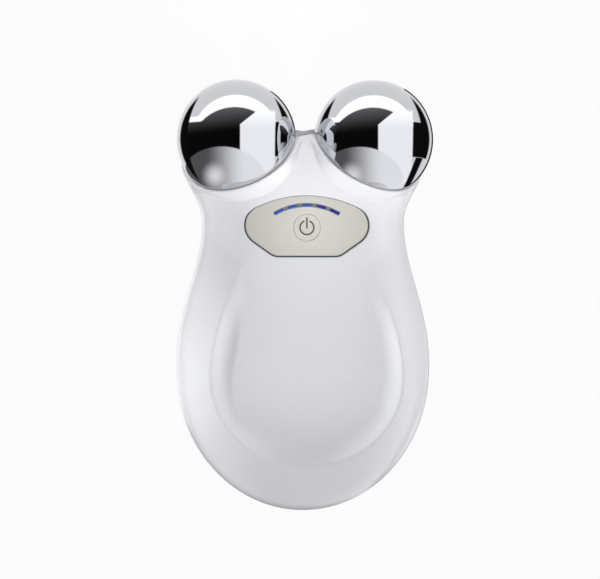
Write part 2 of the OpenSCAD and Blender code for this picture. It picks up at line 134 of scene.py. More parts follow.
def above(v):
    return max(v, 0.0)


def smooth_max(a, b, k):
    h = above(k - abs(a - b)) / k
    return max(a, b) + h * h * k / 4


def fall(u, p, q):
    """A quarter of a superellipse: 1 at u = 0, falling to 0 at u = 1."""
    return above(1 - min(abs(u), 1) ** p) ** (1 / q)


def half_w(y, t=0.0):
    """Half width of the casing at y, set in by t."""
    if y < BELLY_Y:
        return (BELLY_W / 2 - t) * fall((BELLY_Y - y) / (TAIL_Y - t + BELLY_Y), *OUTLINE_TAIL)
    if y < NECK_Y:
        w = BELLY_W / 2 - t - (BELLY_W - NECK_W) / 2 * ease(((y - BELLY_Y) / (NECK_Y - BELLY_Y)) ** WAIST_P)
    else:
        w = NECK_W / 2 - t + (FLARE_W - NECK_W) / 2 * ease((y - FLARE_Y0) / (FLARE_Y1 - FLARE_Y0))
    if y <= OUTLINE_HEAD_Y:
        return w
    return w * fall((y - OUTLINE_HEAD_Y) / (HEAD_Y - OUTLINE_HEAD_Y), *OUTLINE_HEAD)


def front_h(y, t):
    """How high the front stands over the seam in the middle at y, set in by t."""
    if y < TAIL_Y0:
        return (BELLY_FRONT - t) * fall((TAIL_Y0 - y) / (TAIL_Y - t + TAIL_Y0), *FRONT_TAIL)
    h = BELLY_FRONT - t - (BELLY_FRONT - NECK_FRONT) * ease((y - TAIL_Y0) / (NECK_Y - TAIL_Y0))
    return h * (fall((y - HEAD_Y0) / (HEAD_Y - HEAD_Y0), *FRONT_HEAD) if y > HEAD_Y0 else 1)


def rear_h(y, t):
    """How far the rear hangs below the seam in the middle at y, set in by t."""
    if y < TAIL_Y0:
        return (BELLY_REAR - t) * fall((TAIL_Y0 - y) / (TAIL_Y - t + TAIL_Y0), *REAR_TAIL)
    h = BELLY_REAR - t - (BELLY_REAR - HEAD_REAR) * ease((y - REAR_RISE_Y) / REAR_RISE_L)
    return h * (fall((y - REAR_HEAD_Y) / (HEAD_Y - REAR_HEAD_Y), *REAR_HEAD) if y > REAR_HEAD_Y else 1)


def ball_skin(x, y):
    """Height of a skin drawn over the balls, which the front swells out to meet."""
    r = BALL_R + LIP
    d = math.hypot(abs(x) - BALL.x, y - BALL.y)
    return BALL.z + math.sqrt(above(r * r - d * d)) - BALL_FALL * above(d - r)


def rest_in(x, y):
    """How far inside the thumb rest's edge a point lies."""
    if y < -REST_Y:
        return (1 - math.hypot(x / REST_W, (y + REST_Y) / REST_L)) * REST_L
    if y < REST_HEAD_Y:
        return REST_W - REST_TAPER * ease((y + REST_Y) / (REST_HEAD_Y + REST_Y)) - abs(x)
    wide = (abs(x) / REST_HEAD_W) ** REST_HEAD_P
    long = ((y - REST_HEAD_Y) / REST_HEAD_L) ** REST_HEAD_P
    return (1 - (wide + long) ** (1 / REST_HEAD_P)) * REST_HEAD_IN


def rest_foot(y):
    return ease((FOOT_Y - y) / FOOT_L)


def rest_slope(y):
    """How wide the rest's wall is at y."""
    return SLOPE + FOOT_SLOPE * rest_foot(y) - SOFT_SLOPE * ease((y - SOFT_Y) / SOFT_L)


def rest_share(x, y):
    """How much of the rest's depth is reached: steepest just inside a crisp edge, soft near the panel."""
    inside, slope, crisp = rest_in(x, y), rest_slope(y), ease((CRISP_Y - y) / CRISP_L)
    wall = min((math.hypot(above(inside), REST_EDGE) - REST_EDGE) / slope, 1)
    return (1 - crisp) * ease(inside / slope) + crisp * (1 - (1 - wall) ** (REST_CRISP + rest_foot(y)))


def deck(y):
    """Height of the thumb rest's floor at y."""
    return DECK_Z - REST_SINK * ease((DECK_Y - y) / DECK_L)


def land(x, y):
    """1 on the level ground round the control panel, 0 away from it."""
    near = ease((1 - math.hypot(x / LAND_W, (y - LAND_Y) / LAND_L)) / LAND_EDGE)
    return near * ease((y - LAND_START) / LAND_RUN)


def front_z(x, y, t=0.0):
    p = FRONT_P + (NECK_P - FRONT_P) * ease((y - SQUARE_Y) / SQUARE_L)
    z = SEAM_Z + front_h(y, t) * fall(x / max(half_w(y, t), LEAST_W), p, p)
    z = smooth_max(z, ball_skin(x, y) - t, LIP_BLEND)
    z -= above(z - deck(y) + t) * rest_share(x, y)
    return z + above(DECK_Z - t - z) * land(x, y)


def rear_z(x, y, t=0.0):
    return max(t, SEAM_Z - rear_h(y, t) * fall(x / max(half_w(y, t), LEAST_W), REAR_P, REAR_P))


def outline_normal(y):
    """The outline's outward direction on its +X side."""
    e = 1e-3
    slope = (half_w(min(y + e, HEAD_CUT)) - half_w(max(y - e, -TAIL_Y))) / (2 * e)
    return Vector((1, -slope)).normalized()


def on_sphere(a, b, t):
    """The point at share t of the way from a to b over the right socket's sphere."""
    p = (a - BALL).lerp(b - BALL, t)
    return BALL + p.normalized() * SOCKET_R


class Skin:
    """One half of the casing as rows along Y and columns across, with the sockets' rims at its head."""

    TAIL, MIDDLE, HEAD, LIP_ROWS, BOWL = 96, 96, 40, 10, 8
    GROOVE_COLUMNS = 3

    def __init__(self, front, columns):
        self.front = front
        self.p = FRONT_P if front else REAR_P
        self.surface = front_z if front else rear_z
        n = columns
        inner = [math.copysign(abs(math.cos(math.pi * j / n)) ** (2 / self.p), math.cos(math.pi * j / n))
                 for j in range(1, n)]
        self.columns = [(1, 0), (1, 1), (1, 2)] + [(c, None) for c in inner] + [(-1, 2), (-1, 1), (-1, 0)]
        self.first = abs(inner[0])
        self.rows = self.TAIL + self.MIDDLE + self.HEAD
        self.ends = [self.find_end(c) for c, _ in self.columns]
        self.rims = [self.socket_end(j) for j in range(len(self.columns))]
        self.rolls = [self.roll_start(j) for j in range(len(self.columns))]

    def skin_point(self, c, y):
        w = half_w(y)
        return Vector((w * c, y, SEAM_Z if abs(c) == 1 else self.surface(w * c, y)))

    def beyond(self, p):
        """How far p is past the nearest of the cuts that end the skin, and which cut that is."""
        q = Vector((abs(p.x), p.y, p.z))
        rim = (q - RIM_CENTRE).dot(SOCKET_AXIS)
        notch = NOTCH_R - math.hypot(p.x, p.y - NOTCH_Y)
        return max((rim, "rim"), (notch, "notch"), (p.y - HEAD_CUT, "head"))

    def find_end(self, c):
        y = HEAD_ROWS_FROM
        while y < HEAD_CUT and self.beyond(self.skin_point(c, y))[0] < 0:
            y += 0.1
        lo, hi = y - 0.1, min(y, HEAD_CUT)
        for _ in range(30):
            mid = (lo + hi) / 2
            lo, hi = (mid, hi) if self.beyond(self.skin_point(c, mid))[0] < 0 else (lo, mid)
        return hi

    def row_y(self, i, end):
        if i <= self.TAIL:
            return TAIL_Y0 - (TAIL_Y + TAIL_Y0) * math.cos(math.pi / 2 * i / self.TAIL)
        if i <= self.TAIL + self.MIDDLE:
            return TAIL_Y0 + (HEAD_ROWS_FROM - TAIL_Y0) * (i - self.TAIL) / self.MIDDLE
        return HEAD_ROWS_FROM + (end - HEAD_ROWS_FROM) * (i - self.TAIL - self.MIDDLE) / self.HEAD

    def outer(self, i, j):
        c, k = self.columns[j]
        y = self.row_y(i, self.rolls[j])
        p = self.skin_point(c, y)
        if k is None:
            return p
        side = 1 if self.front else -1
        r = min(GROOVE, 0.5 * abs(self.skin_point(self.first, y).z - SEAM_Z))
        r *= ease((self.ends[j] - y) / GROOVE_FADE)
        turn = math.pi / 4 * k
        n = outline_normal(y)
        back = r * (1 - math.sin(turn))
        return Vector((p.x - math.copysign(n.x * back, p.x), p.y - n.y * back,
                       SEAM_Z + side * r * (1 - math.cos(turn))))

    def socket_end(self, j):
        """The kind of cut that ends column j, its side, and the rim's and the seam's inner edges there."""
        c, _ = self.columns[j]
        p = self.skin_point(c, self.ends[j])
        s = 1 if p.x >= 0 else -1
        q = Vector((abs(p.x), p.y, p.z))
        kind = self.beyond(p)[1]
        if kind == "notch":
            x = min(q.x * NOTCH_SPREAD, NOTCH_SIDE)
            wall = Vector((x, NOTCH_Y - math.sqrt(NOTCH_R ** 2 - x * x), SEAM_Z))
            inner = q.lerp(wall, TOP_ROLL / (wall - q).length)
            inner.y = NOTCH_Y - math.sqrt(NOTCH_R ** 2 - inner.x ** 2)
            return kind, s, inner, wall
        if kind == "head":
            inner = q.lerp(Vector((q.x, q.y, SEAM_Z)), min(TOP_ROLL / abs(q.z - SEAM_Z), 0.5))
            return kind, s, inner, Vector((q.x, q.y, SEAM_Z))
        corner = rim_corner()
        radial = (q - RIM_CENTRE).normalized()
        seam_radial = (self.skin_point(1, self.ends[0]) - RIM_CENTRE).normalized()
        lag = 1 - clamp01((radial - seam_radial).length / CORNER_REACH)
        turned = radial + ((corner - RIM_CENTRE).normalized() - seam_radial) * lag
        inner = RIM_CENTRE + turned.normalized() * RIM_R
        flat = math.sqrt(SOCKET_R ** 2 - (BALL.z - SEAM_Z) ** 2)
        if self.front:
            turn = math.atan2(inner.y - BALL.y, inner.x - BALL.x)
        else:
            share = clamp01((radial - seam_radial).length / SEAM_REACH)
            turn = math.atan2(corner.y - BALL.y, corner.x - BALL.x) - share * SEAM_SWEEP
        seam = Vector((BALL.x + flat * math.cos(turn), BALL.y + flat * math.sin(turn), SEAM_Z))
        at_groove = j < self.GROOVE_COLUMNS or j >= len(self.columns) - self.GROOVE_COLUMNS
        return kind, s, inner, corner if at_groove else seam

    def roll_start(self, j):
        """Where column j starts to roll over the rim: as far before its end as the rim is wide."""
        c, _ = self.columns[j]
        _, s, inner, _ = self.rims[j]
        last = self.skin_point(c, self.ends[j])
        wide = (Vector((s * inner.x, inner.y, inner.z)) - last).length
        lo, hi = self.ends[j] - 1.5 * wide - 0.01, self.ends[j]
        for _ in range(24):
            mid = (lo + hi) / 2
            lo, hi = (mid, hi) if (self.skin_point(c, mid) - last).length > wide else (lo, mid)
        return lo

    def point(self, i, j):
        if i <= self.rows:
            return self.outer(i, j)
        kind, s, inner, seam = self.rims[j]
        if i <= self.rows + self.LIP_ROWS:
            t = (i - self.rows) / self.LIP_ROWS
            corner = self.skin_point(self.columns[j][0], self.ends[j])
            last = Vector((s * inner.x, inner.y, inner.z))
            return self.outer(self.rows, j).lerp(corner, t).lerp(corner.lerp(last, t), t)
        t = (i - self.rows - self.LIP_ROWS) / self.BOWL
        if kind == "rim":
            p = on_sphere(inner, seam, t) if t < 1 else seam
        else:
            p = inner.lerp(seam, t)
            if kind == "notch":
                p.y = NOTCH_Y - math.sqrt(NOTCH_R ** 2 - p.x ** 2)
        return Vector((s * p.x, p.y, p.z))

    def build(self):
        bm = bmesh.new()
        across, along = len(self.columns) - 1, self.rows + self.LIP_ROWS + self.BOWL
        bmesh.ops.create_grid(bm, x_segments=across, y_segments=along, size=1)
        for v in bm.verts:
            v.co = self.point(round((v.co.y + 1) / 2 * along), round((v.co.x + 1) / 2 * across))
        bmesh.ops.remove_doubles(bm, verts=bm.verts, dist=1e-4)
        self.close(bm)
        return bm

    def cavity_point(self, i, j, rows, columns):
        y = -TAIL_Y + WALL + (CAVITY_Y - CAVITY_GAP + TAIL_Y - WALL) * (1 - math.cos(math.pi * i / rows)) / 2
        k = fall((y - CAVITY_CAP) / (CAVITY_Y - CAVITY_CAP), *CAVITY_HEAD) if y > CAVITY_CAP else 1
        w = half_w(y, WALL) * k
        turn = math.cos(math.pi * j / columns)
        x = w * math.copysign(abs(turn) ** (2 / self.p), turn)
        if j in (0, columns):
            return Vector((x, y, SEAM_Z))
        return Vector((x, y, SEAM_Z + (self.surface(x / max(k, 1e-6), y, WALL) - SEAM_Z) * k))

    def close(self, bm):
        """Adds the cavity and the flat seam between it and the outside."""
        rows, columns = 60, 48
        made = bmesh.ops.create_grid(bm, x_segments=columns, y_segments=rows, size=1)["verts"]
        for v in made:
            j = round((v.co.x + 1) / 2 * columns)
            i = round((v.co.y + 1) / 2 * rows)
            v.co = self.cavity_point(i, j, rows, columns)
        bmesh.ops.remove_doubles(bm, verts=made, dist=1e-4)
        bmesh.ops.dissolve_degenerate(bm, edges=bm.edges, dist=1e-5)
        rim = [e for e in bm.edges if len(e.link_faces) == 1]
        bmesh.ops.triangle_fill(bm, edges=rim, use_beauty=True, normal=Vector((0, 0, 1)))


def rim_corner():
    """Where the rim's inner edge meets the seam, on the right socket's outer side."""
    a0 = -(RIM_DEPTH + SOCKET_AXIS.z * (SEAM_Z - BALL.z)) / SOCKET_AXIS.y
    k = -SOCKET_AXIS.x / SOCKET_AXIS.y
    flat2 = SOCKET_R ** 2 - (SEAM_Z - BALL.z) ** 2
    a, b, c = 1 + k * k, 2 * k * a0, a0 * a0 - flat2
    x = (-b + math.sqrt(b * b - 4 * a * c)) / (2 * a)
    return Vector((BALL.x + x, BALL.y + k * x + a0, SEAM_Z))


# ---- meshes
SHARP = math.radians(35)


def to_object(name, bm):
    """Turns a bmesh in millimetres into an object in metres."""
    bmesh.ops.recalc_face_normals(bm, faces=bm.faces)
    bmesh.ops.scale(bm, vec=(MM, MM, MM), verts=bm.verts)
    mesh = bpy.data.meshes.new(name)
    bm.to_mesh(mesh)
    bm.free()
    obj = bpy.data.objects.new(name, mesh)
    bpy.context.scene.collection.objects.link(obj)
    return obj


def piece(name, bm, material, body="device", replaces=()):
    """Makes a finished piece of a bmesh in millimetres."""
    obj = to_object(name, bm)
    shade(obj, material)
    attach(obj, body)
    if replaces:
        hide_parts(*replaces)
    return obj


def shade(obj, material):
    """Gives a piece its material, and smooth faces with crisp corners."""
    obj.data.materials.clear()
    obj.data.materials.append(material)
    for poly in obj.data.polygons:
        poly.use_smooth = True
    obj.data.set_sharp_from_angle(angle=SHARP)


def cut(obj, tools):
    """Takes the tools' shapes, bmeshes in millimetres, out of obj."""
    for n, bm in enumerate(tools):
        tool = to_object("tool", bm)
        m = obj.modifiers.new("cut", "BOOLEAN")
        m.operation, m.object, m.solver = "DIFFERENCE", tool, "MANIFOLD"
        bpy.context.view_layer.update()
        dg = bpy.context.evaluated_depsgraph_get()
        made = bpy.data.meshes.new_from_object(obj.evaluated_get(dg))
        obj.modifiers.clear()
        obj.data = made
        bpy.data.objects.remove(tool)
        if not made.polygons:
            raise RuntimeError(f"{obj.name}: cut {n} left nothing")


def disc(centre, profile, steps=96):
    """Spins (radius, height) pairs round an upright axis at centre into a closed body."""
    bm = bmesh.new()
    verts = [bm.verts.new((centre[0] + r, centre[1], z)) for r, z in profile]
    edges = [bm.edges.new(pair) for pair in zip(verts, verts[1:])]
    bmesh.ops.spin(bm, geom=verts + edges, cent=(centre[0], centre[1], 0), axis=(0, 0, 1),
                   angle=math.tau, steps=steps, use_merge=True)
    bmesh.ops.remove_doubles(bm, verts=bm.verts, dist=1e-5)
    return bm


PANEL_TOP, PANEL_TOP_R, PANEL_END_R, PANEL_END = 21.6, 24.6, 4.3, (9.0, 15.2)
PANEL_FOOT_R, PANEL_FOOT, PANEL_LOW, PANEL_T = 3.0, (6.13, 11.6), -55.0, 1.2
PANEL_SHOULDER_Y, PANEL_SHOULDER_L = 16.5, 3.5
CLEAR_TOP = 26
BUTTON_Y = 14.7
WELL_R, WELL_Z0, WELL_Z1, GUIDE_WELL_W = 3.4, 18.5, 24.0, 1.6
HOLE_R, HOLE_RIM_R, HOLE_Z, HOLE_RIM_Z0, HOLE_RIM_Z1 = 2.9, 3.0, 20, 24.1, 24.2
SEAL_IN, SEAL_OUT, SEAL_Z0, SEAL_Z1 = 2.815, 2.885, 23.2, 24.14
LED_Y, LED_R, LED_W, LED_HALF = 5.8, 13.8, 0.9, 31.0
LIGHT_R, LIGHT_W, LIGHT_HALF, LIGHT_PITCH, LIGHTS = 13.72, 0.6, 4.4, 13.1, 5
LIGHT_SUNK, LIGHT_ROUND, BEZEL_SUNK = 0.12, 0.1, 0.25
GUIDE_Z, GUIDE_W, SEAT_Z = 19.3, 1.5, 23.0
HAIR, LIGHT_GAP, HOLE_REACH, LIGHT_REACH = 0.02, 0.03, 0.5, 0.1
# in degrees: a gap at an end, and how far the light guide and its pocket run on past the window
END_GAP, GUIDE_MORE, POCKET_MORE = 0.1, 2, 3
# painted shade on the panel: its plastic darkens between these two distances from the button, in millimetres
PAINTED_SHADE_R, PAINTED_SHADE_END_R = 4, 14
PLUG_SPOTS = ((18, -14), (15, 7))
PLUG_HOLE = [(0, -1), (2.25, -1), (2.25, -0.001), (2.1, 0.149), (2.1, 6), (0, 6)]
JACK_R, JACK_DEEP, JACK_Y, JACK_Z = 2.95, 6, -46, 10.2

# rings through the panel's outline: height over the deck, let out, let out along the top
POCKET = ((-PANEL_T, 0.34, 0.06), (-0.12, 0.34, 0.06), (-0.08, 0.36, 0.08), (-0.04, 0.40, 0.10),
          (0, 0.46, 0.14), (1.5, 0.46, 0.14))
# rings of the rubber line: height, let out, let out along the top
LINE_FOOT, LINE_TOP, LINE_ROUND = DECK_Z - PANEL_T + 0.05, DECK_Z - 0.1, 0.06
LINE = ((LINE_FOOT, 0.32, 0.05), (LINE_TOP - LINE_ROUND, 0.32, 0.05), (LINE_TOP, 0.27, 0.045),
        (LINE_TOP, 0.07, 0.025), (LINE_TOP - LINE_ROUND, 0.02, 0.02), (LINE_FOOT, 0.02, 0.02))


def arc(bm, centre, r, a0, a1, steps):
    """Spins one vertex into an arc, and returns the arc's two ends."""
    a = math.radians(a0)
    start = bm.verts.new((centre[0] + r * math.cos(a), centre[1] + r * math.sin(a), 0))
    last = bmesh.ops.spin(bm, geom=[start], cent=(centre[0], centre[1], 0), axis=(0, 0, 1),
                          angle=math.radians(a1 - a0), steps=steps)["geom_last"][0]
    return start, last


def prism(bm, z0, z1):
    """Fills the outline drawn in bm at height 0 and draws it out from z0 to z1."""
    bmesh.ops.remove_doubles(bm, verts=bm.verts, dist=1e-4)
    face = bmesh.ops.contextual_create(bm, geom=bm.edges[:])["faces"][0]
    bmesh.ops.translate(bm, vec=(0, 0, z0), verts=face.verts)
    top = bmesh.ops.extrude_face_region(bm, geom=[face], use_keep_orig=True)["geom"]
    bmesh.ops.translate(bm, vec=(0, 0, z1 - z0), verts=[g for g in top if isinstance(g, bmesh.types.BMVert)])
    bmesh.ops.recalc_face_normals(bm, faces=bm.faces)


def corners(edges):
    """The edges' vertices, each once, in the edges' order."""
    return list(dict.fromkeys(v for e in edges for v in e.verts))


def panel_outline(bm, g, z=0.0, top=None):
    """Draws the control panel's outline at height z, let out by g, or by top along its upper edge."""
    old = set(bm.edges)
    turn = math.degrees(math.atan2(PANEL_END[1] - PANEL_TOP + PANEL_TOP_R, PANEL_END[0]))
    ends = [arc(bm, PANEL_FOOT, PANEL_FOOT_R + g, -90, PANEL_LOW, 8),
            arc(bm, PANEL_END, PANEL_END_R + g, PANEL_LOW, turn, 40),
            arc(bm, (0, PANEL_TOP - PANEL_TOP_R), PANEL_TOP_R + g, turn + 3, 90, 20)]
    bm.edges.new((ends[0][1], ends[1][0]))
    bm.edges.new((ends[1][1], ends[2][0]))
    foot = bm.verts.new((0, PANEL_FOOT[1] - PANEL_FOOT_R - g, 0))
    bm.edges.new((foot, ends[0][0]))
    half = [e for e in bm.edges if e not in old]
    bmesh.ops.mirror(bm, geom=corners(half) + half, matrix=Matrix(), merge_dist=1e-4, axis="X")
    bmesh.ops.remove_doubles(bm, verts=corners([e for e in bm.edges if e not in old]), dist=1e-4)
    drawn = [e for e in bm.edges if e not in old]
    for v in corners(drawn):
        v.co.z = z
        if top is not None:
            v.co.y -= (g - top) * ease((v.co.y - PANEL_SHOULDER_Y) / PANEL_SHOULDER_L)
    return drawn


def loft(levels, closed=False):
    """A body through the panel's outline at each (height, let out, let out along the top)."""
    bm = bmesh.new()
    rings = [panel_outline(bm, g, z, top) for z, g, top in levels]
    for a, b in zip(rings, rings[1:] + rings[:1] if closed else rings[1:]):
        bmesh.ops.bridge_loops(bm, edges=a + b)
    if not closed:
        for ring in (rings[0], rings[-1]):
            bmesh.ops.contextual_create(bm, geom=ring)
    return bm


def window_outline(w, half, r=LED_R, at=0.0):
    """An arc-shaped slot round the indicator's centre, turned by at degrees."""
    bm = bmesh.new()
    a = arc(bm, (0, LED_Y), r + w / 2, 90 - half - at, 90 + half - at, 48)
    b = arc(bm, (0, LED_Y), r - w / 2, 90 - half - at, 90 + half - at, 48)
    bm.edges.new((a[0], b[0]))
    bm.edges.new((a[1], b[1]))
    return bm


def light_turns():
    """The angle of each light along the indicator."""
    return [(i - (LIGHTS - 1) / 2) * LIGHT_PITCH for i in range(LIGHTS)]


def join(bm, other):
    """Adds another bmesh's shape to bm."""
    mesh = bpy.data.meshes.new("part")
    other.to_mesh(mesh)
    other.free()
    bm.from_mesh(mesh)
    bpy.data.meshes.remove(mesh)


def top_edges(bm, z):
    """The edges round a flat top at height z."""
    return [e for e in bm.edges if all(abs(v.co.z - z) < 1e-4 for v in e.verts)
            and any(abs(f.normal.z) < 0.5 for f in e.link_faces)]


def round_edges(bm, edges, width, segments=3):
    bmesh.ops.bevel(bm, geom=edges, offset=width, offset_type="OFFSET", profile_type="SUPERELLIPSE",
                    segments=segments, profile=0.5, affect="EDGES", clamp_overlap=True, material=-1)


# ---- finishes
def linear(hex_colour):
    """An sRGB hex colour as the linear values that shaders take."""
    made = []
    for n in (0, 2, 4):
        c = int(hex_colour[n:n + 2], 16) / 255
        made.append(c / 12.92 if c <= 0.04045 else ((c + 0.055) / 1.055) ** 2.4)
    return (*made, 1.0)


def shaded(colour, share=1.0):
    """A colour, darkened to a share of itself."""
    return [c * share for c in colour[:3]] + [1]


def add(tree, kind, sockets=None, **settings):
    """Adds a shader node, sets its settings, and sets or links its inputs by name or place."""
    made = tree.nodes.new("ShaderNode" + kind)
    for key, value in settings.items():
        setattr(made, key, value)
    for key, value in (sockets or {}).items():
        if isinstance(value, bpy.types.NodeSocket):
            tree.links.new(value, made.inputs[key])
        else:
            made.inputs[key].default_value = value
    return made


def empty_tree(holder):
    """The node tree of a material or a world, emptied."""
    holder.use_nodes = True
    holder.node_tree.nodes.clear()
    return holder.node_tree


def surface(name, **values):
    """A new material, with its tree, its shader and the object's coordinates."""
    made = bpy.data.materials.new(name)
    tree = empty_tree(made)
    shader = add(tree, "BsdfPrincipled", values)
    add(tree, "OutputMaterial", {"Surface": shader.outputs["BSDF"]})
    place = add(tree, "TexCoord").outputs["Object"]
    return made, tree, shader, place


def centre_reach(tree, place, location, flat=False):
    """How far a point lies from a centre, given as its negative, seen from above if flat."""
    inputs = {"Vector": place, "Location": location, "Scale": (1, 1, 0 if flat else 1)}
    centred = add(tree, "Mapping", inputs).outputs["Vector"]
    return add(tree, "VectorMath", {0: centred}, operation="LENGTH").outputs["Value"]


def grain(tree, place, scale, detail, low, high, rough=0.5):
    """A random pattern from low to high. Its scale is in grains to a metre: 2600 are 0.4 mm each."""
    inputs = {"Vector": place, "Scale": scale, "Detail": detail, "Roughness": rough}
    value = add(tree, "TexNoise", inputs).outputs["Fac"]
    inputs = {"Value": value, "From Min": 0.3, "From Max": 0.7, "To Min": low, "To Max": high}
    return add(tree, "MapRange", inputs).outputs["Result"]


# the Mix node for colours, and the places of its share, its two colours and its result
RGBA = {"data_type": "RGBA"}
SHARE, FIRST, SECOND, MIXED = 0, 6, 7, 2


def dress(kit, base, specks, wear, relief=None, wiped=None):
    """Gives a finish its colour, roughness and relief, each varied by a random pattern.

    specks: a colour over base, then scale, detail, and the least and most of it
    wear: scale, detail, and the lowest and highest roughness, laid along wiped if that is given
    relief: scale, detail, height in metres, strength
    """
    tree, shader, place = kit
    colour, *pattern = specks
    inputs = {SHARE: grain(tree, place, *pattern), FIRST: base, SECOND: colour}
    mixed = add(tree, "Mix", inputs, **RGBA).outputs[MIXED]
    tree.links.new(mixed, shader.inputs["Base Color"])
    tree.links.new(grain(tree, place if wiped is None else wiped, *wear), shader.inputs["Roughness"])
    if relief:
        scale, detail, height, strength = relief
        rise = add(tree, "TexNoise", {"Vector": place, "Scale": scale, "Detail": detail})
        inputs = {"Height": rise.outputs["Fac"], "Distance": height, "Strength": strength}
        tree.links.new(add(tree, "Bump", inputs).outputs["Normal"], shader.inputs["Normal"])


def casing_plastic(colour):
    """Moulded plastic under silver-white satin lacquer, with an orange peel of 1 mm.

    The pigment's own grain is too fine to show, so it is drawn at 0.4 mm.
    """
    coat = {"Coat Weight": 1.0, "Coat Roughness": 0.25}
    made, *kit = surface("casing_lacquer", Roughness=0.42, **coat)
    dress(kit, shaded(colour, 0.965), (shaded(colour), 2600, 2, 0, 1), (60, 3, 0.4, 0.44),
          (900, 1, 0.00001, 0.2))
    return made


def panel_plastic(colour):
    """Warm grey satin plastic with a moulded grain of 0.2 to 0.3 mm, and painted shade towards the panel's
    ends.
    """
    made, *kit = surface("panel_plastic", Roughness=0.38, **{"Specular IOR Level": 0.4})
    tree, _, place = kit
    reach = centre_reach(tree, place, (0, -BUTTON_Y * MM, -DECK_Z * MM))
    # painted shade: the colour falls to 0.86 of itself away from the button, towards the panel's ends
    inputs = {"Value": reach, "From Min": PAINTED_SHADE_R * MM, "From Max": PAINTED_SHADE_END_R * MM}
    outer = add(tree, "MapRange", inputs).outputs["Result"]
    inputs = {SHARE: outer, FIRST: shaded(colour), SECOND: shaded(colour, 0.86)}
    base = add(tree, "Mix", inputs, **RGBA).outputs[MIXED]
    dress(kit, base, (shaded(colour, 0.82), 3500, 2, 0, 0.35), (400, 2, 0.34, 0.42), (5000, 2, 0.000008, 0.3))
    return made


def chrome(colour):
    """Polished chromium plate: a mirror, its haze and wiping marks drawn coarse enough to show."""
    made, *kit = surface("chrome_plate", Metallic=1.0, Roughness=0.03)
    tree, _, place = kit
    wiped = add(tree, "Mapping", {"Vector": place, "Scale": (1, 1, 14), "Rotation": (0.4, 0.3, 0)})
    dress(kit, shaded(colour), (shaded(colour, 0.96), 90, 3, 0, 0.4), (500, 4, 0.02, 0.05, 0.6),
          wiped=wiped.outputs["Vector"])
    return made


def plain(name, colour, rough, metal=0.0, scale=1500, depth=0.00001):
    """A moulded, rubber or metal finish for small and inner parts, its grain coarse enough to show."""
    made, *kit = surface(name, Metallic=metal, Roughness=rough)
    dress(kit, shaded(colour, 0.8), (shaded(colour), scale, 3, 0, 1),
          (scale / 6, 2, rough * 0.85, min(rough * 1.15, 1)), (scale, 3, depth, 0.4) if depth else None)
    return made


def lens_glow(left, right):
    """Lit blue light guides: royal blue to the left, navy to the right, palest along their lower edge."""
    made, tree, shader, place = surface("lens_blue", Roughness=0.3, **{"Emission Strength": 0.32})
    x = add(tree, "SeparateXYZ", {"Vector": place}).outputs["X"]
    inputs = {"Value": x, "From Min": 0.0014, "From Max": 0.0034}
    across = add(tree, "MapRange", inputs).outputs["Result"]
    edge = (LIGHT_R - LIGHT_W / 2) * MM
    inputs = {"Value": centre_reach(tree, place, (0, -LED_Y * MM, 0), flat=True), "To Min": 1, "To Max": 0,
              "From Min": edge + 0.00004, "From Max": edge + 0.00022}
    lower = add(tree, "MapRange", inputs).outputs["Result"]
    body, pale = [add(tree, "Mix", {SHARE: across, FIRST: a, SECOND: b}, **RGBA).outputs[MIXED]
                  for a, b in ((left, right), (linear("9DBEFF"), linear("4A62F0")))]
    inputs = {SHARE: lower, FIRST: body, SECOND: pale}
    glow = add(tree, "Mix", inputs, **RGBA).outputs[MIXED]
    inputs = {SHARE: grain(tree, place, 2200, 2, 0, 0.3), FIRST: glow, SECOND: body}
    cloudy = add(tree, "Mix", inputs, **RGBA).outputs[MIXED]
    inputs = {SHARE: 0.7, FIRST: cloudy, SECOND: (0, 0, 0, 1)}
    dark = add(tree, "Mix", inputs, **RGBA).outputs[MIXED]
    tree.links.new(dark, shader.inputs["Base Color"])
    tree.links.new(cloudy, shader.inputs["Emission Color"])
    return made


def paint_nodes(material, *names):
    for name in names:
        node = frame["nodes"][name]
        node.data.materials.clear()
        node.data.materials.append(material)


# ---- settings
def colour_setting(name, description, default):
    return bpy.props.FloatVectorProperty(name=name, description=description, subtype="COLOR", size=4,
                                         min=0, max=1, default=linear(default))


class TONER_PG_finish(bpy.types.PropertyGroup):
    """Colours of the finishes."""
    casing: colour_setting("Casing", "Lacquer of both halves of the casing", "DCDCE0")
    panel: colour_setting("Panel", "Plastic of the control panel and the button", "CBC8C1")
    chrome: colour_setting("Chrome", "Plating of the ball electrodes", "CACBD0")
    gasket: colour_setting("Gasket", "Rubber line round the control panel", "3C4A47")
    symbol: colour_setting("Symbol", "Ink of the power symbol", "454A46")
    bezel: colour_setting("Bezel", "Frame between the indicator lights", "7E8276")
    seal: colour_setting("Seal", "Silicone ring round the button", "D6D5CD")
    light_left: colour_setting("Left light", "Indicator lights to the left", "2858D8")
    light_right: colour_setting("Right light", "Indicator lights to the right", "0A04A0")


class TONER_PG_sizes(bpy.types.PropertyGroup):
    """Sizes of the pieces' edges and of the studio."""
    columns: bpy.props.IntProperty(name="Columns", description="Columns of faces across each casing half",
                                   default=220, min=60, max=400)
    panel_edge: bpy.props.FloatProperty(name="Panel edge", description="Rounding of the control panel's edge",
                                        default=0.00014, unit="LENGTH")
    distance: bpy.props.FloatProperty(
        name="Camera distance", description="From the camera to the balls", default=0.9, unit="LENGTH")
    turn: bpy.props.FloatProperty(
        name="Camera turn", description="How far the camera stands to the left of straight on",
        default=math.radians(5), subtype="ANGLE")


def finish():
    return bpy.context.scene.toner_finish


def sizes():
    return bpy.context.scene.toner_sizes


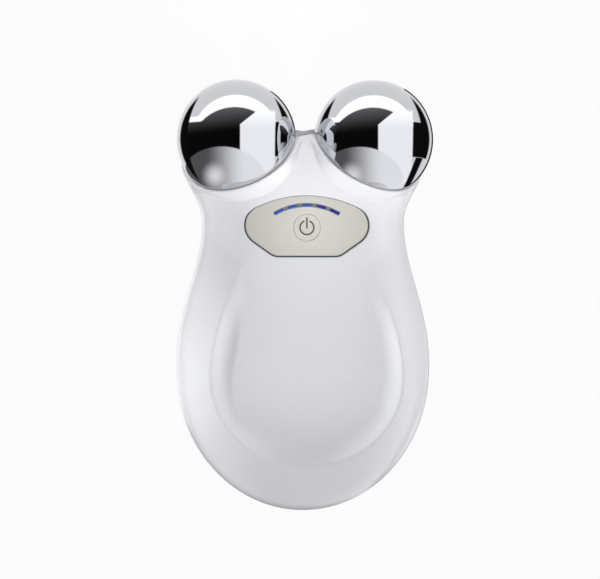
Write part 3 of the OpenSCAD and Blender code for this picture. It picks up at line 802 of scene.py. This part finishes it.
# ---- operators
class TONER_OT_casing(bpy.types.Operator):
    """Builds the front and rear halves of the casing"""
    bl_idname = "toner.casing"
    bl_label = "Casing"

    def execute(self, context):
        lacquer = casing_plastic(finish().casing)
        front = piece("front_casing", Skin(True, sizes().columns).build(), lacquer,
                      replaces=["front_shell"])
        pocket = loft([(DECK_Z + z, g, top) for z, g, top in POCKET])
        well = disc((0, BUTTON_Y), [(0, WELL_Z0), (WELL_R, WELL_Z0), (WELL_R, WELL_Z1), (0, WELL_Z1)])
        guide = window_outline(GUIDE_WELL_W, LED_HALF + POCKET_MORE)
        prism(guide, WELL_Z0, WELL_Z1)
        cut(front, [pocket, well, guide])
        shade(front, lacquer)
        rear = piece("rear_casing", Skin(False, sizes().columns).build(), lacquer,
                     replaces=["rear_shell"])
        holes = [disc((sx * x, y), PLUG_HOLE, 64) for x, y in PLUG_SPOTS for sx in (-1, 1)]
        jack = disc((0, 0), [(0, -JACK_DEEP), (JACK_R, -JACK_DEEP), (JACK_R, JACK_DEEP), (0, JACK_DEEP)])
        bmesh.ops.rotate(jack, verts=jack.verts, cent=(0, 0, 0), matrix=Matrix.Rotation(math.pi / 2, 3, "X"))
        bmesh.ops.translate(jack, verts=jack.verts, vec=(0, JACK_Y, JACK_Z))
        cut(rear, holes + [jack])
        shade(rear, lacquer)
        return {"FINISHED"}


class TONER_OT_balls(bpy.types.Operator):
    """Builds the two polished ball electrodes"""
    bl_idname = "toner.balls"
    bl_label = "Ball electrodes"

    def execute(self, context):
        plate = chrome(finish().chrome)
        for side, sx in (("left", -1), ("right", 1)):
            bm = bmesh.new()
            bmesh.ops.create_uvsphere(bm, u_segments=144, v_segments=96, radius=BALL_R)
            turn = SOCKET_AXIS.to_track_quat("Z", "Y").to_matrix()
            bmesh.ops.rotate(bm, verts=bm.verts, cent=(0, 0, 0), matrix=turn)
            bmesh.ops.bisect_plane(bm, geom=bm.verts[:] + bm.edges[:] + bm.faces[:],
                                   plane_co=-SOCKET_AXIS * BALL_FLAT, plane_no=-SOCKET_AXIS, clear_outer=True)
            bmesh.ops.holes_fill(bm, edges=[e for e in bm.edges if e.is_boundary])
            bmesh.ops.translate(bm, verts=bm.verts, vec=BALL)
            bmesh.ops.scale(bm, verts=bm.verts, vec=(sx, 1, 1))
            piece(f"{side}_ball", bm, plate, replaces=[f"{side}_electrode_ball"])
        return {"FINISHED"}


class TONER_OT_panel(bpy.types.Operator):
    """Builds the control panel, the rubber line round it and the seal round the button"""
    bl_idname = "toner.panel"
    bl_label = "Control panel"

    def execute(self, context):
        warm = panel_plastic(finish().panel)
        edge = sizes().panel_edge / MM
        bm = bmesh.new()
        panel_outline(bm, 0)
        prism(bm, DECK_Z - PANEL_T + HAIR, DECK_Z)
        round_edges(bm, top_edges(bm, DECK_Z), edge)
        plate = piece("panel_plate", bm, warm, replaces=["control_panel"])
        hole = disc((0, BUTTON_Y), [(0, HOLE_Z), (HOLE_R, HOLE_Z), (HOLE_R, HOLE_RIM_Z0),
                                    (HOLE_RIM_R, HOLE_RIM_Z1), (HOLE_RIM_R, CLEAR_TOP), (0, CLEAR_TOP)])
        slot = window_outline(LED_W, LED_HALF)
        prism(slot, HOLE_Z, CLEAR_TOP)
        cut(plate, [hole, slot])
        shade(plate, warm)
        rubber = plain("gasket_rubber", finish().gasket, 0.6, scale=3000, depth=0.000006)
        piece("gasket_line", loft(LINE, closed=True), rubber, replaces=["panel_gasket"])
        paint_nodes(rubber, "electrode_seals")
        seal = disc((0, BUTTON_Y), [(SEAL_IN, SEAL_Z0), (SEAL_OUT, SEAL_Z0), (SEAL_OUT, SEAL_Z1),
                                    (SEAL_IN, SEAL_Z1), (SEAL_IN, SEAL_Z0)])
        piece("button_seal", seal, plain("seal_silicone", finish().seal, 0.5, depth=0))
        return {"FINISHED"}


class TONER_OT_indicator(bpy.types.Operator):
    """Builds the indicator's frame and its light guide with five lit windows"""
    bl_idname = "toner.indicator"
    bl_label = "Indicator"

    def execute(self, context):
        dark = plain("bezel_plastic", finish().bezel, 0.4)
        bm = window_outline(LED_W - 2 * HAIR, LED_HALF - END_GAP)
        prism(bm, SEAT_Z + HAIR, DECK_Z - BEZEL_SUNK)
        bezel = piece("indicator_frame", bm, dark, replaces=["indicator_bezel"])
        holes = []
        for turn in light_turns():
            hole = window_outline(LIGHT_W + LIGHT_GAP, LIGHT_HALF + END_GAP, LIGHT_R, turn)
            prism(hole, SEAT_Z - HOLE_REACH, DECK_Z)
            holes.append(hole)
        cut(bezel, holes)
        shade(bezel, dark)
        guide = window_outline(GUIDE_W, LED_HALF + GUIDE_MORE)
        prism(guide, GUIDE_Z, SEAT_Z - HAIR)
        for turn in light_turns():
            light = window_outline(LIGHT_W, LIGHT_HALF, LIGHT_R, turn)
            prism(light, SEAT_Z - LIGHT_REACH, DECK_Z - LIGHT_SUNK)
            round_edges(light, top_edges(light, DECK_Z - LIGHT_SUNK), LIGHT_ROUND)
            join(guide, light)
        piece("light_guide", guide, lens_glow(finish().light_left, finish().light_right),
              replaces=["indicator_lenses"])
        return {"FINISHED"}


class TONER_OT_button(bpy.types.Operator):
    """Gives the power button and its symbol their finishes"""
    bl_idname = "toner.button"
    bl_label = "Power button"

    def execute(self, context):
        warm = panel_plastic(finish().panel)
        paint_nodes(warm, "power_button")
        paint_nodes(plain("symbol_ink", finish().symbol, 0.5, scale=4000, depth=0), "power_symbol")
        return {"FINISHED"}


# finish, colour, roughness, metal share, and the nodes that have it: black plastic with a soft shine, bright
# steel and brass, pale resin, green lacquer, dull ferrite, silvery foil, matt foam, nylon, satin sleeves
INNER_FINISHES = (
    ("black_plastic", "1B1B1D", 0.45, 0.0,
     ("charge_jack", "tact_switch", "switch_plunger", "board_chips", "buzzer")),
    ("steel_plate", "B9BABD", 0.28, 1.0,
     ("charge_jack_pin", "board_screws", "electrode_screws", "shell_screws")),
    ("brass_plate", "C8A35A", 0.3, 1.0, ("ring_terminals",)),
    ("led_resin", "ECE6C8", 0.35, 0.0, ("indicator_leds",)),
    ("board_mask", "0E5A2C", 0.35, 0.0, ("main_board",)),
    ("ferrite", "2B2724", 0.7, 0.0, ("pulse_transformer",)),
    ("battery_foil", "B5B8BE", 0.3, 1.0, ("battery",)),
    ("foam", "262626", 0.95, 0.0, ("battery_pad",)),
    ("white_nylon", "E6E3DA", 0.45, 0.0, ("battery_connector",)),
    ("red_sleeve", "B5201A", 0.4, 0.0, ("battery_lead_red", "charge_lead_red", "left_electrode_lead")),
    ("black_sleeve", "191919", 0.4, 0.0, ("battery_lead_black", "charge_lead_black")),
    ("blue_sleeve", "1B3FA8", 0.4, 0.0, ("right_electrode_lead",)),
)


class TONER_OT_inner(bpy.types.Operator):
    """Gives the small outer parts and the parts inside the casing their finishes"""
    bl_idname = "toner.inner"
    bl_label = "Inner parts"

    def execute(self, context):
        paint_nodes(casing_plastic(finish().casing), "screw_plugs")
        for name, colour, rough, metal, nodes in INNER_FINISHES:
            paint_nodes(plain(name, linear(colour), rough, metal=metal), *nodes)
        return {"FINISHED"}


class TONER_OT_stage(bpy.types.Operator):
    """Sets up the painted studio, the floor, the lamps and the camera"""
    bl_idname = "toner.stage"
    bl_label = "Studio"

    def execute(self, context):
        scene = context.scene
        scene.view_settings.view_transform = "Standard"
        build_world(scene)
        build_floor()
        build_lights()
        build_camera(scene)
        return {"FINISHED"}


class Field:
    """A number that varies over a surface or the sky, worked out by Math nodes."""

    def __init__(self, tree, socket):
        self.tree, self.socket = tree, socket

    def apply(self, operation, other=0.0, swap=False):
        value = other.socket if isinstance(other, Field) else other
        pair = (value, self.socket) if swap else (self.socket, value)
        made = add(self.tree, "Math", {0: pair[0], 1: pair[1]}, operation=operation)
        return Field(self.tree, made.outputs[0])

    def __add__(self, other):
        return self.apply("ADD", other)

    def __sub__(self, other):
        return self.apply("SUBTRACT", other)

    def __rsub__(self, other):
        return self.apply("SUBTRACT", other, True)

    def __mul__(self, other):
        return self.apply("MULTIPLY", other)

    __radd__, __rmul__ = __add__, __mul__

    def over(self, edge, soft=0.012):
        """1 where the number is over edge, 0 where it is under, with a soft change between."""
        low, high = edge - soft, edge + soft
        made = add(self.tree, "MapRange", {"Value": self.socket, "From Min": low, "From Max": high},
                   interpolation_type="SMOOTHSTEP")
        return Field(self.tree, made.outputs["Result"])

    def under(self, edge, soft=0.012):
        return 1 - self.over(edge, soft)

    def lay(self, mask, value):
        """value where the mask is 1, this number where it is 0."""
        return self + mask * (value - self)


def axis_share(tree, way, axis):
    """How far a direction goes along an axis."""
    made = add(tree, "VectorMath", {0: way, 1: axis}, operation="DOT_PRODUCT")
    return Field(tree, made.outputs["Value"])


def studio_glow(tree):
    """What metal and gloss see of the studio, drawn as it shows in a mirror ball that stands on the floor."""
    look = Vector((-math.sin(sizes().turn), 0, math.cos(sizes().turn)))
    right = Vector((math.cos(sizes().turn), 0, math.sin(sizes().turn)))
    way = add(tree, "TexCoord").outputs["Generated"]
    half = add(tree, "VectorMath", {0: way, 1: look}, operation="ADD").outputs[0]
    half = add(tree, "VectorMath", {0: half}, operation="NORMALIZE").outputs[0]
    x = axis_share(tree, half, right)
    y = axis_share(tree, half, (0, 1, 0))

    def reach(cx, cy, sx=1.0, sy=1.0):
        dx, dy = (x - cx) * (1 / sx), (y - cy) * (1 / sy)
        return (dx * dx + dy * dy).apply("SQRT")

    rim = reach(0, 0)
    glow = y * 0.0 + 1.0
    # overhead softbox
    glow = glow.lay(rim.under(0.725) * y.over(0.2), 1.75)
    glow = glow.lay(x.over(-0.82) * x.under(-0.55) * y.over(0.27) * y.under(0.37), 1.75)
    # tall reflector on the right, in front
    screen = rim.under(0.9) * x.over(0.07) * y.under(0.47, 0.05) * x.under(0.645)
    glow = glow.lay(screen, 1.37 + y.over(0.3, 0.15) * 0.3)
    # the dark room behind the camera
    room = (reach(-0.0135, -0.264).under(0.782) + x.under(-0.53) * y.under(0.285)).apply("MINIMUM", 1.0)
    room = room * (x - y * 1.2 + 0.205).under(0.0).apply("MAXIMUM", 0) * rim.under(0.9)
    room = room.apply("MAXIMUM", rim.under(0.9) * x.under(0.07) * y.under(0.243))
    glow = glow.lay(room * x.under(0.33), 0.004 + 0.22 * (y - x * 0.1).over(0.42, 0.3))
    # low table in front, lit from the right, with a bright patch on it
    table = reach(-0.25, -0.76, 0.77, 0.62).under(1.0, 0.02)
    lit = 0.12 + 1.1 * x.over(-0.17, 0.36) + 0.85 * (1 - reach(-0.38, -0.62, 0.25, 0.28).over(0.5, 0.5))
    glow = glow.lay(table, lit)
    # black flags at both sides: a crescent at each, a block and a strip below it on the right
    flag = rim.under(0.935) * reach(0.567, -0.008).over(1.374)
    flag = flag.apply("MAXIMUM", rim.under(0.935) * reach(-0.567, -0.008).over(1.374) * y.over(-0.29))
    flag = flag.apply("MAXIMUM", rim.under(0.925) * x.over(0.65) * y.over(-0.29) * y.under(0.29))
    strip = (x - y * 0.352).over(0.812) * (x - y * 0.39).under(0.948) * y.under(-0.29)
    glow = glow.lay(flag.apply("MAXIMUM", strip), 0.006)
    glow = glow.lay(y.under(-0.87, 0.05), 0.15)
    glow = glow.lay(rim.over(0.972, 0.008) * x.over(0.5), 0.01)
    return glow


WHITE, FLOOR_WHITE, FLOOR_DROP, FLOOR_HALF = (1, 1, 1, 1), 0.93, 0.0002, 3000
FLOOR_GREY, FILL_TINT = (0.85, 0.85, 0.85, 1), (0.97, 0.98, 1, 1)
# the fill's strength, and how much weaker it is from beyond the tail
FILL, TAIL_LESS = 0.48, 0.44


def build_world(scene):
    """White to the camera, the painted studio to metal and gloss, a soft fill to everything else."""
    world = bpy.data.worlds.new("studio")
    scene.world = world
    tree = empty_tree(world)
    path = add(tree, "LightPath").outputs
    way = add(tree, "TexCoord").outputs["Generated"]
    soft = FILL - axis_share(tree, way, (0, -1, 0)).over(0.72, 0.22) * TAIL_LESS
    fill = add(tree, "Background", {"Color": FILL_TINT, "Strength": soft.socket}).outputs[0]
    white = add(tree, "Background", {"Color": WHITE}).outputs[0]
    studio = add(tree, "Background", {"Color": WHITE, "Strength": studio_glow(tree).socket}).outputs[0]
    gloss = Field(tree, path["Is Glossy Ray"]).apply("MAXIMUM", Field(tree, path["Is Transmission Ray"]))
    both = add(tree, "MixShader", {"Fac": gloss.socket, 1: fill, 2: studio}).outputs[0]
    both = add(tree, "MixShader", {"Fac": path["Is Camera Ray"], 1: both, 2: white}).outputs[0]
    add(tree, "OutputWorld", {"Surface": both})


def build_floor():
    """A pale floor that looks white and keeps a faint shadow."""
    bm = bmesh.new()
    bmesh.ops.create_grid(bm, x_segments=1, y_segments=1, size=FLOOR_HALF)
    floor = to_object("floor", bm)
    floor.location.z = -FLOOR_DROP
    made = bpy.data.materials.new("studio_floor")
    tree = empty_tree(made)
    path = add(tree, "LightPath").outputs
    seen = Field(tree, path["Is Camera Ray"])
    for ray in ("Is Glossy Ray", "Is Transmission Ray"):
        seen = seen.apply("MAXIMUM", Field(tree, path[ray]))
    seen = (seen * FLOOR_WHITE).socket
    matt = add(tree, "BsdfDiffuse", {"Color": FLOOR_GREY}).outputs[0]
    white = add(tree, "Emission", {"Color": WHITE}).outputs[0]
    both = add(tree, "MixShader", {"Fac": seen, 1: matt, 2: white}).outputs[0]
    add(tree, "OutputMaterial", {"Surface": both})
    floor.data.materials.append(made)
    floor.visible_glossy = False


LAMP_FAR, SPOT_FAR, SPOT_BULB = 0.9, 0.8, 0.02
STRIP, SOFT = (0.12, 1.2), (0.35, 0.25)

# broad lamps: name, turn, rise, size in metres, power in watts
PANEL_LAMPS = (
    ("front_softbox", 90, 84, (0.6, 0.6), 0.5),
    ("left_strip", 180, 30, STRIP, 1.1),
    ("right_strip", 0, 20, STRIP, 0.3),
    ("top_soft", 90, 8, SOFT, 2.0),
    ("bottom_right_soft", -17, 5, SOFT, 5.2),
    ("bottom_left_soft", -163, 5, SOFT, 4.2),
)

HEAD = (0, 0.034, 0.018)
# spots: name, turn, rise, target in metres, cone in degrees, power in watts
SPOTS = (
    ("head_left", -135, 48, HEAD, 3.8, 1.5),
    ("head_middle", -90, 40, HEAD, 3.4, 6.5),
    ("head_right", -45, 48, HEAD, 3.4, 12.0),
    ("web_top", -90, 60, (0, 0.033, 0.02), 1.5, 46.0),
    ("wall_right", 180, 20, (0.0195, -0.016, 0.022), 2.6, 34.0),
    ("wall_left", 0, 26, (-0.0165, -0.010, 0.022), 2.6, 14.0),
    ("flank_left", 180, 12, (-0.0235, 0.0, 0.018), 1.7, 3.0),
)


def matt_pieces():
    """Everything but the mirror-bright balls, which take their light from the painted studio."""
    group = bpy.data.collections.new("lit_by_lamps")
    for obj in bpy.context.scene.objects:
        if obj.type == "MESH" and not obj.name.endswith("_ball"):
            group.objects.link(obj)
    return group


def place_lamp(data, group, turn, rise, target=(0, 0, 0.02), distance=LAMP_FAR):
    """Stands a lamp round the device: turn degrees from +X, rise degrees over the floor, facing target."""
    a, e = math.radians(turn), math.radians(rise)
    way = Vector((math.cos(e) * math.cos(a), math.cos(e) * math.sin(a), math.sin(e)))
    obj = bpy.data.objects.new(data.name, data)
    obj.location = way * distance + Vector(target)
    obj.rotation_euler = (-way).to_track_quat("-Z", "Y").to_euler()
    obj.light_linking.receiver_collection = group
    obj.visible_glossy = False
    bpy.context.scene.collection.objects.link(obj)


def build_lights():
    group = matt_pieces()
    for name, turn, rise, size, power in PANEL_LAMPS:
        data = bpy.data.lights.new(name, "AREA")
        data.shape, data.energy = "RECTANGLE", power
        data.size, data.size_y = size
        place_lamp(data, group, turn, rise)
    for name, turn, rise, target, cone, power in SPOTS:
        data = bpy.data.lights.new(name, "SPOT")
        data.energy, data.shadow_soft_size = power, SPOT_BULB
        data.spot_size, data.spot_blend = math.radians(cone), 1.0
        place_lamp(data, group, turn, rise, target, SPOT_FAR)


def build_camera(scene):
    """Looks straight down on the device as it lies, from a little to the left."""
    data = bpy.data.cameras.new("camera")
    cam = bpy.data.objects.new("camera", data)
    scene.collection.objects.link(cam)
    scene.camera = cam
    # the frame in pixels, its millimetres to a pixel, and the pixel that shows the origin
    width, height, scale = 600, 579, 0.2178
    origin_x, origin_y = 305, 295.4
    distance = sizes().distance
    turn = sizes().turn
    data.sensor_width = 36
    data.lens = data.sensor_width * distance / (width * scale * MM)
    look = Vector((math.sin(turn), 0, -math.cos(turn)))
    right = Vector((math.cos(turn), 0, math.sin(turn)))
    middle = Vector((0, 0, BALL.z * MM)) + right * ((width / 2 - origin_x) * scale * MM)
    middle += Vector((0, (origin_y - height / 2) * scale * MM, 0))
    cam.location = middle - look * distance
    cam.rotation_euler = Matrix((right, (0, 1, 0), -look)).transposed().to_euler()
    data.clip_start, data.clip_end = 0.01, 20


class TONER_PT_parts(bpy.types.Panel):
    """Lists the pieces of the device"""
    bl_idname = "TONER_PT_parts"
    bl_label = "Toning Device"
    bl_space_type = "VIEW_3D"
    bl_region_type = "UI"
    bl_category = "Toning Device"

    def draw(self, context):
        for group in (context.scene.toner_finish, context.scene.toner_sizes):
            for key in group.__annotations__:
                self.layout.prop(group, key)
        for step in STEPS:
            self.layout.operator(step.bl_idname)


STEPS = (TONER_OT_casing, TONER_OT_balls, TONER_OT_panel, TONER_OT_indicator, TONER_OT_button, TONER_OT_inner,
         TONER_OT_stage)
CLASSES = (TONER_PG_finish, TONER_PG_sizes, *STEPS, TONER_PT_parts)


def register():
    for made in CLASSES:
        bpy.utils.register_class(made)
    bpy.types.Scene.toner_finish = bpy.props.PointerProperty(type=TONER_PG_finish)
    bpy.types.Scene.toner_sizes = bpy.props.PointerProperty(type=TONER_PG_sizes)


def unregister():
    del bpy.types.Scene.toner_finish, bpy.types.Scene.toner_sizes
    for made in reversed(CLASSES):
        bpy.utils.unregister_class(made)


def main():
    register()
    for old in list(bpy.data.objects):
        if old.type in ("LIGHT", "CAMERA") or old.name == "Cube":
            bpy.data.objects.remove(old)
    for step in STEPS:
        group, name = step.bl_idname.split(".")
        getattr(getattr(bpy.ops, group), name)()


if __name__ == "__main__":
    main()
